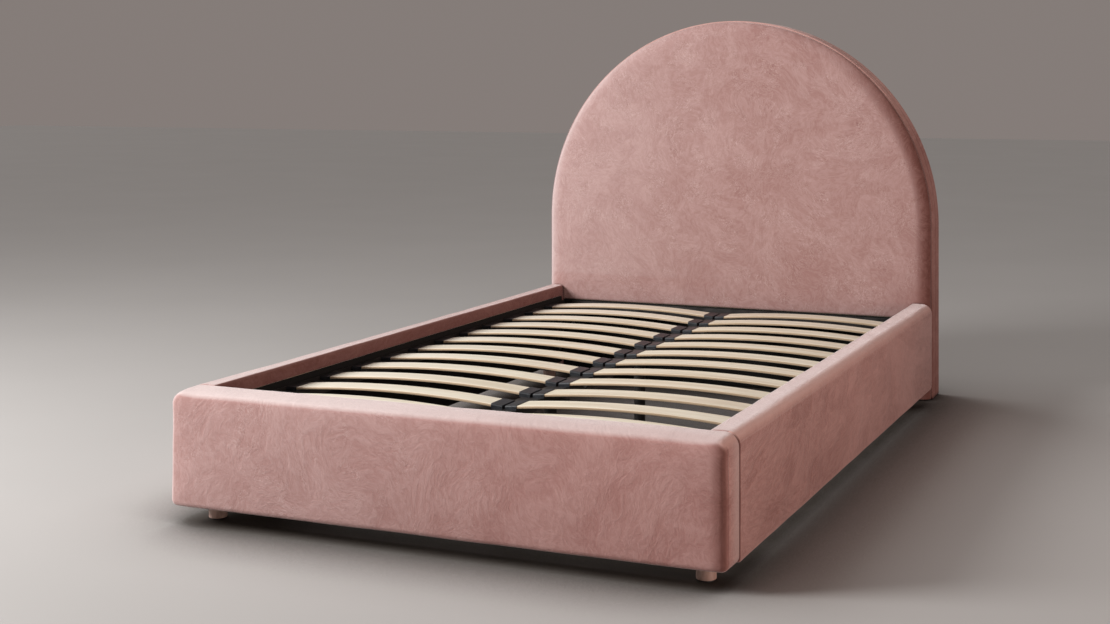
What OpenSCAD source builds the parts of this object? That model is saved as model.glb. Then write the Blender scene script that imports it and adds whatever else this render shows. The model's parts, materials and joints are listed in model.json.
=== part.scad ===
// Upholstered bed frame with an arched headboard, two side rails, a low footboard
// and a drop-in slatted base in two steel half frames.
// X runs across the bed, Y from the foot to the head, Z up from the floor.

/* [Mattress] */
// Width of the mattress that the bed takes
mattress_w = 1200; // [900:50:1600]
// Length of the mattress that the bed takes
mattress_l = 2000; // [1900:50:2100]
// Gap between the mattress and each side rail
side_gap = 5; // [0:1:20]
// Gap left along the length, between footboard and headboard
end_gap = 5; // [0:1:20]

/* [Side rails and footboard] */
// Thickness of a side rail
rail_t = 65; // [62:1:90]
// Thickness of the footboard
foot_t = 85; // [75:1:110]
// Height of the top of rails and footboard above the floor
panel_top = 308; // [290:1:380]
// Height of their lower edge above the floor
panel_bottom = 42; // [30:1:60]
// Height of the velvet turned down over the inner faces
velvet_turn = 36; // [20:1:44]
// Radius of the tight velvet edges, on the inner side and where the panels meet
tight_r = 8; // [5:1:14]
// Radius of the rails' upper outer edges
outer_r = 22; // [12:1:25]
// Radius of the footboard's upper corners
foot_r = 18; // [10:1:25]
// Radius of the footboard's upper front edge and its upright front corners
front_r = 10; // [8:1:20]
// Radius of the footboard's lower corners
low_r = 15; // [5:1:25]
// Radius of the rails' lower corners at the headboard
rear_low_r = 23; // [5:1:25]

/* [Upholstery] */
// Thickness of the velvet with its backing
velvet_t = 2; // [1:0.5:3]
// Thickness of the foam under the velvet of rails and footboard
foam_t = 23; // [15:1:25]
// Thickness of the black lining inside the bed
lining_t = 2; // [1:0.5:3]
// Thickness of the boards in rails and footboard
board_t = 18; // [12:1:22]
// Width of the battens behind the foam
batten_w = 45; // [30:1:60]

/* [Headboard] */
// Height of the straight sides, where the arch begins
spring_h = 550; // [400:10:700]
// How much the headboard stays inside the rails' outer faces
head_inset = 5; // [0:1:15]
// Depth of the front pad, from its face to the seam
pad_t = 32; // [28:1:50]
// Radius of the pad's front edge
pad_r = 25; // [15:1:26]
// Depth of the groove at the seam between pad and side band
seam_gap = 2; // [1:0.5:4]
// Thickness of the padded side band
band_t = 5; // [3:1:8]
// Thickness of the headboard's front panel
panel_t = 12; // [9:1:18]
// Depth of the headboard's timber frame
frame_d = 90; // [60:1:100]
// Width of the frame's timbers
timber_w = 34; // [30:1:80]
// Thickness of the cloth on the back
back_t = 1; // [0.5:0.5:2]
// Height of the headboard's velvet edge above the floor, between the rails
pad_bottom = 260; // [258:1:270]

/* [Slatted base] */
// Number of slat rows
rows = 12; // [6:1:12]
// Distance from the footboard to the middle of the first row
first_row = 169; // [80:1:190]
// Distance from the middle of the last row to the headboard
last_row = 136.5; // [80:0.5:190]
// Width of a slat
slat_w = 68; // [38:1:70]
// Thickness of a slat
slat_t = 7; // [6:0.5:10]
// Camber of a slat over its whole length
slat_camber = 15; // [8:0.5:20]
// Side of the square steel tube
tube = 25; // [20:1:30]
// Wall of the steel tube
tube_wall = 1.5; // [1:0.1:2.5]
// Height of the tubes' underside above the floor
base_z = 220; // [200:1:225]
// Length of a slat cap
cap_l = 29; // [24:1:34]
// Wall of a slat cap
cap_wall = 1.5; // [1.5:0.1:3]
// Radius of the peg under a slat cap
peg_r = 4; // [3:0.5:5]
// Length of the peg under a slat cap
peg_l = 10; // [6:1:16]
// Free space between the slatted base and the ledges around it
base_clear = 2; // [1:0.5:5]

/* [Ledges and brackets] */
// Width of the ledge that carries the slatted base
ledge_w = 30; // [25:1:40]
// Height of the ledge's upright leg
ledge_h = 38; // [32:1:40]
// Thickness of the ledge steel
ledge_t = 3; // [2:0.5:4]
// Length of each leg of a corner bracket
bracket_l = 60; // [50:1:75]
// Height of a corner bracket
bracket_h = 120; // [80:1:140]
// Thickness of a corner bracket
bracket_t = 4; // [3:0.5:5]
// Height of the corner brackets' lower edge above the floor
bracket_z = 75; // [60:1:90]
// Radius of the corner bolts' shanks
bolt_r = 4; // [3:0.5:5]
// Radius of the wood screws' shanks
screw_r = 2.25; // [1.5:0.25:3]

/* [Feet] */
// Diameter of a foot
foot_d = 42; // [34:1:50]
// Distance from the bed's side to a foot's axis
foot_inset = 72; // [68:1:76]
// Distance from the footboard's front to the front feet's axis
foot_front = 88; // [86:1:92]
// Distance from the headboard's face to the rear feet's axis
foot_rear = 135; // [90:1:300]
// Thickness of the glides under the feet and the headboard
glide_t = 3; // [2:0.5:5]
// Diameter of the glides
glide_d = 34; // [24:1:34]
// Thickness of the plates that the feet screw onto
plate_t = 3; // [2:0.5:5]
// Diameter of the centre legs
leg_d = 32; // [25:1:38]

/* [Hidden] */
$fn = 64;
slack = 0.05;
past = 1;
slat_fit = 0.3;
edge_r = velvet_t + foam_t;
bed_w = mattress_w + 2 * (side_gap + rail_t);
rail_x = bed_w / 2 - rail_t;
rail_l = mattress_l + end_gap;
head_y = foot_t + rail_l;
panel_h = panel_top - panel_bottom;
head_r = bed_w / 2 - head_inset;
core_r = head_r - band_t;
head_d = pad_t + panel_t + frame_d + back_t;
overall_l = head_y + head_d;

frame_z = panel_bottom + velvet_t;
frame_top = panel_top - edge_r;
rail_core_t = rail_t - velvet_t - edge_r;
foot_core_t = foot_t - velvet_t - edge_r;
frame_l = rail_l - 2 * edge_r;
foot_frame_w = bed_w - 2 * edge_r;
rail_cells = 4;
foot_cells = 3;
pad_back_r = 4;
turn_in = 22;
stile_x = 300;

ledge_z = base_z - ledge_t;
base_out = rail_x - ledge_t - base_clear;
base_in = 0.5;
base_y0 = foot_t + ledge_t + base_clear;
base_l = rail_l - 2 * (ledge_t + base_clear);
row_pitch = (rail_l - first_row - last_row) / (rows - 1);
tube_top = base_z + tube;
cap_edge = 3.5;
cap_in = base_in + cap_edge;
tip_room = 2;
cap_back = cap_wall + tip_room;
slat_x0 = cap_in + cap_back;
slat_x1 = base_out - cap_back;
slat_chord = slat_x1 - slat_x0;
slat_z = tube_top + cap_wall;
slat_r = (slat_chord * slat_chord / 4 + slat_camber * slat_camber) / (2 * slat_camber);
slat_angle = asin(slat_chord / 2 / slat_r);
slat_slope = asin((slat_chord - cap_l) / 2 / slat_r);
slat_edge_r = 2.5;
slat_facets = 360;
peg_from_tip = 5;
peg_in = slat_x0 + peg_from_tip;
peg_out = slat_x1 - peg_from_tip;
joint_rows = [1, 4, 7, 10];
leg_rows = [3, 7];

bolt_edge = 20;
bolt_inset = bracket_l - bolt_edge;
bolt_heights = [bracket_z + bolt_edge, bracket_z + bracket_h - bolt_edge];
bolt_head_h = 5;
bolt_end = 3;
corner_bolt_l = bracket_t + lining_t + board_t;
point_cover = 2;
screw_l = ledge_t + lining_t + board_t - point_cover;
screw_head_r = 2 * screw_r;
ledge_screw_margin = 60;
ledge_screws_side = 7;
ledge_screws_end = 4;
plate_l = 90;
plate_in = 23;
plate_out = foot_inset - edge_r - velvet_t;
plate_screw_edge = 9;
plate_screw_pitch = 18;
plate_screw_x = [plate_out - plate_screw_edge - plate_screw_pitch, plate_out - plate_screw_edge];
plate_screw_end = 12;
plate_screw_y = plate_l / 2 - plate_screw_end;
foot_edge_r = 2;
stud_r = 4;
stud_l = 25;
leg_bolt_r = 3;
leg_bolt_l = 15;
leg_plate_w = 80;
leg_plate_l = 60;
leg_plate_t = 3;
leg_bolt_x = base_in + tube / 2;
leg_bolt_y = 22;
leg_cap_h = 20;
leg_cap_wall = 2;

velvet = [0.72, 0.54, 0.52];
panel_brown = [0.80, 0.68, 0.50];
cloth_grey = [0.16, 0.15, 0.15];
foot_tan = [0.78, 0.60, 0.50];
glide_brown = [0.20, 0.19, 0.18];
birch = [0.87, 0.79, 0.66];
black_steel = [0.10, 0.10, 0.11];
zinc = [0.70, 0.71, 0.73];
charcoal = [0.13, 0.14, 0.16];
foam_cream = [0.93, 0.90, 0.78];
lining_black = [0.06, 0.06, 0.06];

function two_digits(n) = n < 10 ? str("0", n) : str(n);
function row_y(i) = foot_t + first_row + (i - 1) * row_pitch;

LEFT_SLATS = [for (i = [1:rows]) str("slat_left_", two_digits(i))];
RIGHT_SLATS = [for (i = [1:rows]) str("slat_right_", two_digits(i))];

// Everything is drawn from the footboard's front face and then centred along the bed
module placed() {
  translate([0, -overall_l / 2, 0]) children();
}

module both_sides() {
  children();
  mirror([1, 0, 0]) children();
}

// Outlines
module corner_waste(r) {
  if (r > 0) difference() {
    translate([-past, -past]) square(r + past);
    translate([r, r]) circle(r);
  }
}

// A rectangle whose corners have the radii in list r, counterclockwise from the lower left
module rounded(w, h, r) {
  difference() {
    square([w, h]);
    corner_waste(r[0]);
    translate([w, 0]) rotate(90) corner_waste(r[1]);
    translate([w, h]) rotate(180) corner_waste(r[2]);
    translate([0, h]) rotate(270) corner_waste(r[3]);
  }
}

// A block with rounded edges, from the radii of its plan, its front view and its side view
module soft_block(size, plan, front, side, inset = 0) {
  w = size.x - 2 * inset;
  l = size.y - 2 * inset;
  h = size.z - 2 * inset;
  function less(list) = [for (r = list) max(0, r - inset)];
  translate([inset, inset, inset]) intersection() {
    linear_extrude(h) rounded(w, l, less(plan));
    translate([0, l, 0]) rotate([90, 0, 0]) linear_extrude(l) rounded(w, h, less(front));
    rotate([90, 0, 90]) linear_extrude(w) rounded(l, h, less(side));
  }
}

// Fasteners stand on z = 0 with their shanks up; gap widens them into their holes
module hex_bolt(l, r, gap) {
  translate([0, 0, -gap]) cylinder(r = r + gap, h = l + gap);
  if (gap == 0) translate([0, 0, -bolt_head_h]) cylinder(r = 2 * r, h = bolt_head_h, $fn = 6);
}

module wood_screw(l, gap) {
  cylinder(r = screw_r + gap, h = l + gap);
  cylinder(r1 = screw_head_r + gap, r2 = screw_r + gap, h = screw_head_r - screw_r);
}

// Side rails, drawn for the right side
module rail_block(inset) {
  translate([rail_x, foot_t, panel_bottom])
    soft_block([rail_t, rail_l, panel_h], [for (i = [0:3]) tight_r], [0, 0, outer_r, tight_r],
      [tight_r, rear_low_r, tight_r, tight_r], inset);
}

module rail_cover() {
  color(velvet) difference() {
    rail_block(0);
    rail_block(velvet_t);
    // The inner face is bare below the turned-down velvet
    translate([rail_x - past, foot_t + tight_r + velvet_t, panel_bottom - past])
      cube([velvet_t + past, rail_l - 2 * (tight_r + velvet_t), panel_h - velvet_turn + past]);
    // The underside is bare below the timber, and where the foot plates reach under it
    translate([rail_x - past, foot_t - past, panel_bottom - past])
      cube([rail_t - edge_r + past, rail_l - tight_r - velvet_t + past, velvet_t + past]);
  }
}

module rail_core(reach) {
  translate([rail_x + velvet_t - reach, foot_t + edge_r, frame_z - reach])
    cube([rail_core_t + reach, frame_l, frame_top - frame_z + reach]);
}

module rail_foam() {
  color(foam_cream) difference() {
    rail_block(velvet_t);
    rail_core(past);
  }
}

// Pockets between the battens, open towards the foam
module pockets(span, height, depth, cells) {
  pitch = (span - batten_w) / cells;
  for (i = [0:cells - 1])
    translate([batten_w + i * pitch, batten_w, 0])
      cube([pitch - batten_w, height - 2 * batten_w, depth + past]);
}

module rail_frame() {
  color(birch) difference() {
    rail_core(0);
    translate([rail_x + velvet_t + board_t, foot_t + edge_r, frame_z]) rotate([90, 0, 90])
      pockets(frame_l, frame_top - frame_z, rail_core_t - board_t, rail_cells);
    side_bolts(slack);
    side_ledge_screws(slack);
    plate_screws(slack);
  }
}

// Footboard
module foot_block(inset) {
  translate([-bed_w / 2, 0, panel_bottom])
    soft_block([bed_w, foot_t, panel_h], [front_r, front_r, tight_r, tight_r],
      [low_r, low_r, foot_r, foot_r], [0, 0, tight_r, front_r], inset);
}

module footboard_cover() {
  color(velvet) difference() {
    foot_block(0);
    foot_block(velvet_t);
    translate([-rail_x, foot_t - velvet_t, panel_bottom - past])
      cube([2 * rail_x, velvet_t + past, panel_h - velvet_turn + past]);
    translate([-foot_frame_w / 2, edge_r, panel_bottom - past])
      cube([foot_frame_w, foot_t, velvet_t + past]);
  }
}

module foot_core(reach) {
  translate([-foot_frame_w / 2, edge_r, frame_z - reach])
    cube([foot_frame_w, foot_core_t + reach, frame_top - frame_z + reach]);
}

module footboard_foam() {
  color(foam_cream) difference() {
    foot_block(velvet_t);
    foot_core(past);
  }
}

module footboard_frame() {
  color(birch) difference() {
    foot_core(0);
    translate([-foot_frame_w / 2, edge_r + foot_core_t - board_t, frame_z]) rotate([90, 0, 0])
      pockets(foot_frame_w, frame_top - frame_z, foot_core_t - board_t, foot_cells);
    both_sides() {
      end_bolts(foot_t, -1, slack);
      plate_screws(slack);
    }
    end_ledge_screws(foot_t, -1, slack);
  }
}

// Headboard. A profile has the distance from the arch's centre along x, and the depth
// from the headboard's face along y. It is swept round the arch and down both sides.
module arched() {
  translate([0, head_y, spring_h]) {
    rotate([-90, 0, 0]) rotate([0, 0, 180]) rotate_extrude(angle = 180) children();
    translate([0, 0, glide_t - spring_h]) linear_extrude(spring_h - glide_t) both_sides() children();
  }
}

module pad_profile() {
  rounded(core_r, pad_t, [0, pad_r, pad_back_r, 0]);
}

// The foam inside the velvet, which also turns in behind the foam's edge
module foam_profile() {
  w = core_r - velvet_t;
  translate([0, velvet_t]) {
    rounded(w, pad_t - 2 * velvet_t, [0, pad_r - velvet_t, pad_back_r - velvet_t, 0]);
    square([w - turn_in, pad_t - velvet_t]);
  }
}

// The space between the rails where the pad gives way to the mounting board
module pad_cutout() {
  translate([-rail_x, head_y - past, glide_t - past])
    cube([2 * rail_x, pad_t + past, pad_bottom - glide_t + past]);
}

module headboard_front_cover() {
  color(velvet) difference() {
    arched() difference() {
      pad_profile();
      foam_profile();
    }
    pad_cutout();
  }
}

module headboard_foam() {
  color(foam_cream) difference() {
    arched() foam_profile();
    pad_cutout();
  }
}

module headboard_side_band() {
  color(velvet) arched()
    translate([core_r, pad_t + seam_gap])
      rounded(band_t, head_d - pad_t - seam_gap, [0, pad_back_r, pad_back_r, 0]);
}

module headboard_panel() {
  color(panel_brown) arched() translate([0, pad_t]) square([core_r, panel_t]);
}

module arch_outline(inset) {
  intersection() {
    union() {
      translate([0, spring_h]) circle(core_r - inset);
      translate([inset - core_r, 0]) square([2 * (core_r - inset), spring_h]);
    }
    translate([-core_r, glide_t + inset]) square([2 * core_r, spring_h + core_r]);
  }
}

module headboard_frame() {
  color(birch) translate([0, head_y + pad_t + panel_t + frame_d, 0]) rotate([90, 0, 0])
    linear_extrude(frame_d) difference() {
      arch_outline(0);
      difference() {
        arch_outline(timber_w);
        for (x = [-stile_x, 0, stile_x]) translate([x - timber_w / 2, 0]) square([timber_w, 2 * core_r]);
        for (z = [pad_bottom, spring_h]) translate([-core_r, z]) square([2 * core_r, timber_w]);
      }
    }
}

module headboard_back_cloth() {
  color(cloth_grey) arched() translate([0, head_d - back_t]) square([core_r, back_t]);
}

module headboard_mounting_board() {
  color(birch) difference() {
    translate([-rail_x, head_y + lining_t, glide_t])
      cube([2 * rail_x, pad_t - lining_t, pad_bottom - glide_t]);
    both_sides() end_bolts(head_y, 1, slack);
    end_ledge_screws(head_y, 1, slack);
  }
}

// Black linings on the four inner faces
module inner_linings() {
  lining_top = panel_top - velvet_turn;
  color(lining_black) difference() {
    union() {
      both_sides() translate([rail_x, foot_t + tight_r + velvet_t, frame_z])
        cube([lining_t, rail_l - 2 * (tight_r + velvet_t), lining_top - frame_z]);
      translate([-rail_x, foot_t - lining_t, frame_z]) cube([2 * rail_x, lining_t, lining_top - frame_z]);
      translate([-rail_x, head_y, glide_t]) cube([2 * rail_x, lining_t, pad_bottom - glide_t]);
    }
    both_sides() {
      side_bolts(slack);
      side_ledge_screws(slack);
      end_bolts(foot_t, -1, slack);
      end_bolts(head_y, 1, slack);
    }
    end_ledge_screws(foot_t, -1, slack);
    end_ledge_screws(head_y, 1, slack);
  }
}

// Ledges
module ledge_profile() {
  translate([-ledge_w, 0]) square([ledge_w, ledge_t]);
  translate([-ledge_t, 0]) square([ledge_t, ledge_h]);
}

module side_ledge() {
  color(black_steel) difference() {
    translate([rail_x, head_y, ledge_z]) rotate([90, 0, 0]) linear_extrude(rail_l) ledge_profile();
    side_ledge_screws(slack);
  }
}

module end_ledges() {
  half = rail_x - ledge_w - ledge_t;
  color(black_steel) difference() {
    union() {
      translate([-half, head_y, ledge_z]) rotate([90, 0, 90]) linear_extrude(2 * half) ledge_profile();
      translate([half, foot_t, ledge_z]) rotate([90, 0, -90]) linear_extrude(2 * half) ledge_profile();
    }
    end_ledge_screws(foot_t, -1, slack);
    end_ledge_screws(head_y, 1, slack);
  }
}

module side_ledge_screws(gap) {
  pitch = (rail_l - 2 * ledge_screw_margin) / (ledge_screws_side - 1);
  for (i = [0:ledge_screws_side - 1])
    translate([rail_x - ledge_t, foot_t + ledge_screw_margin + i * pitch, ledge_z + ledge_h / 2])
      rotate([0, 90, 0]) wood_screw(screw_l, gap);
}

// Screws through an end ledge: face is the inner face's place, way points out of the bed
module end_ledge_screws(face, way, gap) {
  pitch = 2 * (rail_x - 2 * ledge_w) / (ledge_screws_end - 1);
  for (i = [0:ledge_screws_end - 1])
    translate([-(rail_x - 2 * ledge_w) + i * pitch, face - way * ledge_t, ledge_z + ledge_h / 2])
      rotate([-90 * way, 0, 0]) wood_screw(screw_l, gap);
}

module plate_screws(gap) {
  for (y = [foot_front, head_y - foot_rear], dx = plate_screw_x, dy = [-plate_screw_y, plate_screw_y])
    translate([bed_w / 2 - foot_inset + dx, y + dy, frame_z - plate_t]) wood_screw(screw_l, gap);
}

module wood_screws() {
  color(zinc) {
    both_sides() {
      side_ledge_screws(0);
      plate_screws(0);
    }
    end_ledge_screws(foot_t, -1, 0);
    end_ledge_screws(head_y, 1, 0);
  }
}

// Corner brackets and their bolts, drawn for the right side
module side_bolts(gap) {
  for (y = [foot_t + bolt_inset, head_y - bolt_inset], z = bolt_heights)
    translate([rail_x - bracket_t, y, z]) rotate([0, 90, 0]) hex_bolt(corner_bolt_l, bolt_r, gap);
}

module end_bolts(face, way, gap) {
  for (z = bolt_heights)
    translate([rail_x - bolt_inset, face - way * bracket_t, z])
      rotate([-90 * way, 0, 0]) hex_bolt(corner_bolt_l, bolt_r, gap);
}

module corner_bolts() {
  color(zinc) both_sides() {
    side_bolts(0);
    end_bolts(foot_t, -1, 0);
    end_bolts(head_y, 1, 0);
  }
}

module corner_brackets() {
  color(black_steel) difference() {
    both_sides() for (end = [0, 1])
      translate([rail_x, end == 0 ? foot_t : head_y, bracket_z]) mirror([0, end, 0])
        linear_extrude(bracket_h) {
          translate([-bracket_t, 0]) square([bracket_t, bracket_l]);
          translate([-bracket_l, 0]) square([bracket_l, bracket_t]);
        }
    both_sides() {
      side_bolts(slack);
      end_bolts(foot_t, -1, slack);
      end_bolts(head_y, 1, slack);
    }
  }
}

// Feet
module at_feet() {
  for (side = [-1, 1], y = [foot_front, head_y - foot_rear])
    translate([side * (bed_w / 2 - foot_inset), y, 0]) children();
}

module foot_plates() {
  plate_z = frame_z - plate_t;
  color(black_steel) difference() {
    both_sides() for (y = [foot_front, head_y - foot_rear])
      translate([bed_w / 2 - foot_inset, y, 0]) {
        translate([-plate_in, -plate_l / 2, plate_z]) cube([plate_in + plate_out, plate_l, plate_t]);
        translate([0, 0, plate_z - stud_l]) cylinder(r = stud_r, h = stud_l);
      }
    both_sides() plate_screws(slack);
  }
}

module foot(side, y) {
  top = frame_z - plate_t;
  color(foot_tan)
    translate([side * (bed_w / 2 - foot_inset), y, 0]) difference() {
      rotate_extrude() translate([0, glide_t])
        rounded(foot_d / 2, top - glide_t, [0, foot_edge_r, foot_edge_r, 0]);
      translate([0, 0, top - stud_l - past]) cylinder(r = stud_r + slack, h = stud_l + 2 * past);
    }
}

module floor_glides() {
  color(glide_brown) {
    at_feet() cylinder(d = glide_d, h = glide_t);
    both_sides() translate([core_r - timber_w / 2, head_y + pad_t + panel_t + frame_d / 2, 0])
      cylinder(d = glide_d, h = glide_t);
  }
}

// Slatted base, drawn for the right half
module tube_ring(inset) {
  w = base_out - base_in;
  difference() {
    translate([base_in + inset, base_y0 + inset, base_z + inset])
      cube([w - 2 * inset, base_l - 2 * inset, tube - 2 * inset]);
    translate([base_in + tube - inset, base_y0 + tube - inset, base_z - past])
      cube([w - 2 * tube + 2 * inset, base_l - 2 * tube + 2 * inset, tube + 2 * past]);
  }
}

module half_frame() {
  color(black_steel) difference() {
    tube_ring(0);
    tube_ring(tube_wall);
    for (i = [1:rows], x = [peg_in, peg_out])
      translate([x, row_y(i), tube_top - tube_wall - past])
        cylinder(r = peg_r + slack, h = tube_wall + 2 * past);
    joining_bolts(slack);
    leg_bolts(slack);
  }
}

module joining_bolts(gap) {
  for (i = joint_rows)
    translate([-base_in - tube, row_y(i) + row_pitch / 2, base_z + tube / 2]) rotate([0, 90, 0]) {
      hex_bolt(2 * (tube + base_in) + bolt_head_h + bolt_end, bolt_r, gap);
      if (gap == 0) translate([0, 0, 2 * (tube + base_in)]) difference() {
        cylinder(r = 2 * bolt_r, h = bolt_head_h, $fn = 6);
        translate([0, 0, -past]) cylinder(r = bolt_r + slack, h = bolt_head_h + 2 * past);
      }
    }
}

module leg_bolts(gap) {
  for (i = leg_rows, x = [-1, 1] * leg_bolt_x, dy = [-1, 1] * leg_bolt_y)
    translate([x, row_y(i) + row_pitch / 2 + dy, base_z - leg_plate_t])
      hex_bolt(leg_bolt_l, leg_bolt_r, gap);
}

module base_bolts() {
  color(zinc) {
    joining_bolts(0);
    leg_bolts(0);
  }
}

module centre_legs() {
  h = base_z - leg_plate_t - leg_cap_wall;
  color(black_steel) for (i = leg_rows) translate([0, row_y(i) + row_pitch / 2, 0]) difference() {
    union() {
      translate([-leg_plate_w / 2, -leg_plate_l / 2, base_z - leg_plate_t])
        cube([leg_plate_w, leg_plate_l, leg_plate_t]);
      translate([0, 0, leg_cap_wall]) cylinder(d = leg_d, h = h);
    }
    translate([0, 0, leg_cap_wall - past]) cylinder(d = leg_d - 2 * tube_wall, h = h + past);
    for (x = [-1, 1] * leg_bolt_x, y = [-1, 1] * leg_bolt_y)
      translate([x, y, 0]) cylinder(r = leg_bolt_r + slack, h = base_z + past);
  }
}

module centre_leg_caps() {
  color(charcoal) for (i = leg_rows) translate([0, row_y(i) + row_pitch / 2, 0]) difference() {
    cylinder(d = leg_d + 2 * leg_cap_wall, h = leg_cap_h);
    translate([0, 0, leg_cap_wall]) cylinder(d = leg_d + 2 * slack, h = leg_cap_h);
  }
}

// A slat is a bowed strip with rounded edges
module slat(i) {
  color(birch) translate([(slat_x0 + slat_x1) / 2, row_y(i), slat_z - slat_r * cos(slat_angle)])
    rotate([90, 0, 0]) rotate(90 - slat_angle) rotate_extrude(angle = 2 * slat_angle, $fn = slat_facets)
      translate([slat_r, -slat_w / 2]) slat_section(0);
}

// The slat's section, widened by gap on every side, with its thickness along x
module slat_section(gap) {
  rounded(slat_t + 2 * gap, slat_w + 2 * gap, [for (k = [0:3]) slat_edge_r + gap]);
}

// The slat's end from its tip on, with its slope, widened by gap and drawn back behind the tip
module slat_end(gap, back) {
  rotate([0, -slat_slope, 0]) translate([-back, slat_w / 2 + gap, -gap])
    rotate([0, -90, 180]) linear_extrude(2 * cap_l) slat_section(gap);
}

// A moulded cap: a sleeve round the slat's end, a foot on the tube and a peg into it.
// It is drawn from the slat's tip, with the slat towards +x.
module slat_cap() {
  half_w = slat_w / 2 + cap_wall;
  difference() {
    translate([0, 0, -cap_wall]) union() {
      intersection() {
        translate([0, 0, cap_wall]) slat_end(cap_wall, 2 * cap_back);
        translate([-cap_back, -half_w, 0]) cube([cap_l, 2 * half_w, 3 * slat_t]);
      }
      translate([-cap_back, -half_w, 0]) cube([cap_l, 2 * half_w, cap_wall + slat_t / 2]);
      translate([peg_from_tip, 0, -peg_l]) cylinder(r = peg_r, h = peg_l + cap_wall / 2);
    }
    slat_end(slat_fit, slat_fit);
  }
}

module outer_slat_caps() {
  color(charcoal) both_sides() for (i = [1:rows])
    translate([slat_x1, row_y(i), slat_z]) mirror([1, 0, 0]) slat_cap();
}

module centre_slat_caps() {
  color(charcoal) both_sides() for (i = [1:rows])
    translate([slat_x0, row_y(i), slat_z]) slat_cap();
}

placed() headboard_front_cover();
placed() headboard_foam();
placed() headboard_side_band();
placed() headboard_panel();
placed() headboard_frame();
placed() headboard_back_cloth();
placed() headboard_mounting_board();
placed() footboard_cover();
placed() footboard_foam();
placed() footboard_frame();
placed() mirror([1, 0, 0]) rail_cover();  // left_rail_cover
placed() mirror([1, 0, 0]) rail_foam();  // left_rail_foam
placed() mirror([1, 0, 0]) rail_frame();  // left_rail_frame
placed() mirror([1, 0, 0]) side_ledge();  // left_ledge
placed() rail_cover();  // right_rail_cover
placed() rail_foam();  // right_rail_foam
placed() rail_frame();  // right_rail_frame
placed() side_ledge();  // right_ledge
placed() inner_linings();
placed() end_ledges();
placed() wood_screws();
placed() corner_brackets();
placed() corner_bolts();
placed() foot_plates();
placed() foot(-1, foot_front);  // foot_front_left
placed() foot(1, foot_front);  // foot_front_right
placed() foot(-1, head_y - foot_rear);  // foot_rear_left
placed() foot(1, head_y - foot_rear);  // foot_rear_right
placed() floor_glides();
placed() mirror([1, 0, 0]) half_frame();  // left_half_frame
placed() half_frame();  // right_half_frame
placed() base_bolts();
placed() centre_legs();
placed() centre_leg_caps();
placed() outer_slat_caps();
placed() centre_slat_caps();
for (i = [1:rows]) {
  placed() mirror([1, 0, 0]) slat(i);
  placed() slat(i);
}
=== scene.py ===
import json
import math

import bpy
import numpy as np
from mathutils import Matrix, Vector, noise


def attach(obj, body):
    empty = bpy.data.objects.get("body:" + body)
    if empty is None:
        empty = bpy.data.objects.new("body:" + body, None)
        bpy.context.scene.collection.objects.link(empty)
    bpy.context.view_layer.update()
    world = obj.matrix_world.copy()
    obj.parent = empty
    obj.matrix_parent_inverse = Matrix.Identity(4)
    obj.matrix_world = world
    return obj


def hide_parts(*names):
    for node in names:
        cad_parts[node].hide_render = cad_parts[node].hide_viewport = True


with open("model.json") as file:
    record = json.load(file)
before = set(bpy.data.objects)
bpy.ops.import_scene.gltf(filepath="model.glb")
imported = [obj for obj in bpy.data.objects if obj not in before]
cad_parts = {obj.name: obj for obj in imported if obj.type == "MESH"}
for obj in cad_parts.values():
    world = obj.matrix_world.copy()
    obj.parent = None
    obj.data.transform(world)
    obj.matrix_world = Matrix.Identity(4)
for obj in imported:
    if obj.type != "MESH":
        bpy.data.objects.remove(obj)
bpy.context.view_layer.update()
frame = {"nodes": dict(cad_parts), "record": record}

# An upholstered bed frame with an arched headboard. The CAD's slats, tubes, ledges, fasteners and
# feet keep their own solids. The velvet pads, the headboard's band, the black linings and the back
# cloth are made here, and replace the CAD's covers, foams and cloths.

nodes = frame["nodes"]

# Sizes of the CAD model in metres, with y measured from the footboard's front face at FRONT
FRONT = -1.1125
RAIL_X, OUT_X = 0.605, 0.670
FOOT_T = 0.085
HEAD_Y = 2.090
LOW, TOP = 0.042, 0.308
# The timber inside the rails, and inside the footboard, which the foam is wrapped round
CORE_X = (0.607, 0.645)
CORE_Y = (0.110, 2.065)
CORE_Z = (0.044, 0.283)
FOOT_CORE_Y = (0.025, 0.083)
# Lower edge of the velvet that is turned over the inner faces, and the linings' length below it
VELVET_EDGE = 0.272
LINING_Y = (0.095, 2.080)
# The headboard: outer and inner radius of its band, height of the arch's centre, pad and band
HEAD_R, HEAD_CORE_R = 0.665, 0.660
SPRING = 0.550
PAD_T = 0.032
BAND_Y = (2.1222, 2.225)
HEAD_LOW = 0.003
PAD_LOW = 0.260

# Radii of the pads' edges: between two panels, at the top outside, and at the lower edges
TIGHT, OUTER, FOOT_R, FRONT_R, LOW_R, REAR_LOW_R = 0.008, 0.030, 0.030, 0.012, 0.015, 0.023
# How much the footboard's top falls, and its face leans back, towards the rolled front edge
FRONT_FALL, FRONT_LEAN = 0.0065, 0.006
# Height of the first row of cells above the headboard's lower edge
HEM = 0.004
# How far in from its ends the footboard's face falls back, and by how much
END_FALL = (0.050, 0.004)
# Seams: beside the footboard's corners, above the lower edge, and round the headboard's band
SEAM_Y, HEM_Z, WELT_Y = 0.017, LOW + 0.006, 2.170
GROOVE = 0.0012
# How far in from its rim the headboard's face falls back, and by how much
HEAD_FALL = (0.120, 0.006)
# Width of the pads' mesh cells: along a panel, across its thickness, and in a rounded edge
CELL, CROSS_CELL, HEAD_CELL, HEAD_CROSS_CELL, ARC_CELL = 0.014, 0.012, 0.015, 0.008, 0.004
# Grid lines nearer together than this are merged
MIN_CELL = 0.0009
# Points this near a surface lie on it, and corners closer than TINY aren't turned
ON, TINY = 1e-5, 1e-7

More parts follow.
